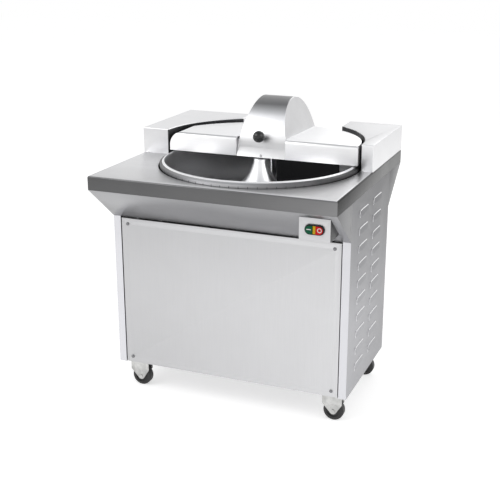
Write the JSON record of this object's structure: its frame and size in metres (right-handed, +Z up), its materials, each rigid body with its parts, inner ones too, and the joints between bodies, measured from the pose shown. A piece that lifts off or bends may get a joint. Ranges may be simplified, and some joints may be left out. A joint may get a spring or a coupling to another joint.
{
  "type": "meat bowl cutter",
  "caption": "Floor-standing bowl cutter: stainless cabinet on casters, ring-shaped trough bowl, hinged half lid with a rounded knife hood, sickle knives, belt drive and push buttons.",
  "frame": {"origin": "on the floor, under the middle of the worktop", "axes": "+X to the operator's right along the front, +Y from the operator to the rear, +Z up"},
  "size_m": [0.77, 0.7, 0.918],
  "materials": {
    "stainless_sheet": "fine brushed stainless sheet",
    "bowl_steel": "turned and satin polished stainless",
    "machined_steel": "ground and polished steel",
    "frame_paint": "satin grey paint",
    "machine_paint": "grey machine enamel",
    "pulley_iron": "turned cast iron",
    "belt_rubber": "matt belt rubber",
    "black_plastic": "moulded black plastic",
    "scraper_plastic": "satin dark food plastic",
    "green_plastic": "moulded green plastic",
    "red_plastic": "moulded red plastic",
    "lamp_amber": "frosted amber lens",
    "wheel_rubber": "hard black rubber",
    "zinc_steel": "bright zinc plated steel"
  },
  "bodies": {
    "cabinet": {"base_plate": "stainless_sheet", "bearing_pedestal": "machine_paint", "bowl_motor": "machine_paint", "button_bezel": "black_plastic", "cable_gland": "black_plastic", "caster_bolts": "machined_steel", "caster_plates": "zinc_steel", "contact_block": "black_plastic", "control_box": "stainless_sheet", "frame_posts": "frame_paint", "frame_rails": "frame_paint", "front_panel": "stainless_sheet", "front_skirt": "stainless_sheet", "gearbox_bridge": "frame_paint", "gearbox_housing": "machine_paint", "hinge_bracket": "stainless_sheet", "hinge_pin": "machined_steel", "knife_bearings": "machined_steel", "knife_belts": "belt_rubber", "knife_quill": "machined_steel", "lamp_lens": "lamp_amber", "left_block": "stainless_sheet", "left_side_panel": "stainless_sheet", "lid_switch": "black_plastic", "motor_body": "machine_paint", "motor_mount": "frame_paint", "panel_screws": "machined_steel", "rear_panel": "stainless_sheet", "rear_skirt": "stainless_sheet", "right_block": "stainless_sheet", "right_side_panel": "stainless_sheet", "worktop": "stainless_sheet"},
    "lid": {"lid_shell": "stainless_sheet", "knife_hood": "stainless_sheet", "lid_knob": "black_plastic", "catch_pin": "machined_steel", "lid_hinge_arms": "stainless_sheet", "bowl_scraper": "scraper_plastic", "scraper_screws": "machined_steel"},
    "bowl": {"bowl": "bowl_steel", "bowl_spindle": "bowl_steel"},
    "knives": {"knife_shaft": "machined_steel", "knife_pulley": "pulley_iron", "knife_1": "machined_steel", "knife_2": "machined_steel", "knife_3": "machined_steel", "knife_spacers": "machined_steel", "knife_nut": "machined_steel"},
    "motor_rotor": {"motor_shaft": "machined_steel", "motor_pulley": "pulley_iron"},
    "start_button": {"start_button": "green_plastic"},
    "stop_button": {"stop_button": "red_plastic"},
    "front_left_fork": {"front_left_caster_fork": "zinc_steel"},
    "front_left_wheel": {"front_left_caster_wheel": "wheel_rubber"},
    "rear_left_fork": {"rear_left_caster_fork": "zinc_steel"},
    "rear_left_wheel": {"rear_left_caster_wheel": "wheel_rubber"},
    "front_right_fork": {"front_right_caster_fork": "zinc_steel"},
    "front_right_wheel": {"front_right_caster_wheel": "wheel_rubber"},
    "rear_right_fork": {"rear_right_caster_fork": "zinc_steel"},
    "rear_right_wheel": {"rear_right_caster_wheel": "wheel_rubber"}
  },
  "joints": [
    {"name": "lid_hinge", "type": "hinge", "parent": "cabinet", "child": "lid", "pos_m": [0.03, 0.312, 0.758], "axis": [-1, 0, 0], "range_deg": [0, 85]},
    {"name": "bowl_spin", "type": "hinge", "parent": "cabinet", "child": "bowl", "pos_m": [0.03, -0.018, 0.7], "axis": [0, 0, 1], "continuous": true},
    {"name": "motor_spin", "type": "hinge", "parent": "cabinet", "child": "motor_rotor", "pos_m": [-0.334, 0.075, 0.295], "axis": [1, 0, 0], "continuous": true},
    {"name": "knife_spin", "type": "hinge", "parent": "cabinet", "child": "knives", "pos_m": [0.03, 0.1375, 0.775], "axis": [1, 0, 0], "continuous": true},
    {"name": "start_press", "type": "slide", "parent": "cabinet", "child": "start_button", "axis": [0, 1, 0], "range_m": [0, 0.003], "stiffness_N_per_m": 600, "springref_m": -0.002},
    {"name": "stop_press", "type": "slide", "parent": "cabinet", "child": "stop_button", "axis": [0, 1, 0], "range_m": [0, 0.003], "stiffness_N_per_m": 600, "springref_m": -0.002},
    {"name": "front_left_swivel", "type": "hinge", "parent": "cabinet", "child": "front_left_fork", "pos_m": [-0.326, -0.17, 0.08], "axis": [0, 0, 1], "continuous": true},
    {"name": "front_left_roll", "type": "hinge", "parent": "front_left_fork", "child": "front_left_wheel", "pos_m": [-0.318, -0.17, 0.03175], "axis": [0, 1, 0], "continuous": true},
    {"name": "rear_left_swivel", "type": "hinge", "parent": "cabinet", "child": "rear_left_fork", "pos_m": [-0.326, 0.17, 0.08], "axis": [0, 0, 1], "continuous": true},
    {"name": "rear_left_roll", "type": "hinge", "parent": "rear_left_fork", "child": "rear_left_wheel", "pos_m": [-0.318, 0.17, 0.03175], "axis": [0, 1, 0], "continuous": true},
    {"name": "front_right_swivel", "type": "hinge", "parent": "cabinet", "child": "front_right_fork", "pos_m": [0.326, -0.17, 0.08], "axis": [0, 0, 1], "continuous": true},
    {"name": "front_right_roll", "type": "hinge", "parent": "front_right_fork", "child": "front_right_wheel", "pos_m": [0.334, -0.17, 0.03175], "axis": [0, 1, 0], "continuous": true},
    {"name": "rear_right_swivel", "type": "hinge", "parent": "cabinet", "child": "rear_right_fork", "pos_m": [0.326, 0.17, 0.08], "axis": [0, 0, 1], "continuous": true},
    {"name": "rear_right_roll", "type": "hinge", "parent": "rear_right_fork", "child": "rear_right_wheel", "pos_m": [0.334, 0.17, 0.03175], "axis": [0, 1, 0], "continuous": true}
  ],
  "couplings": [
    {"joint": "knife_spin", "follows": "motor_spin", "ratio": 1.5}
  ]
}
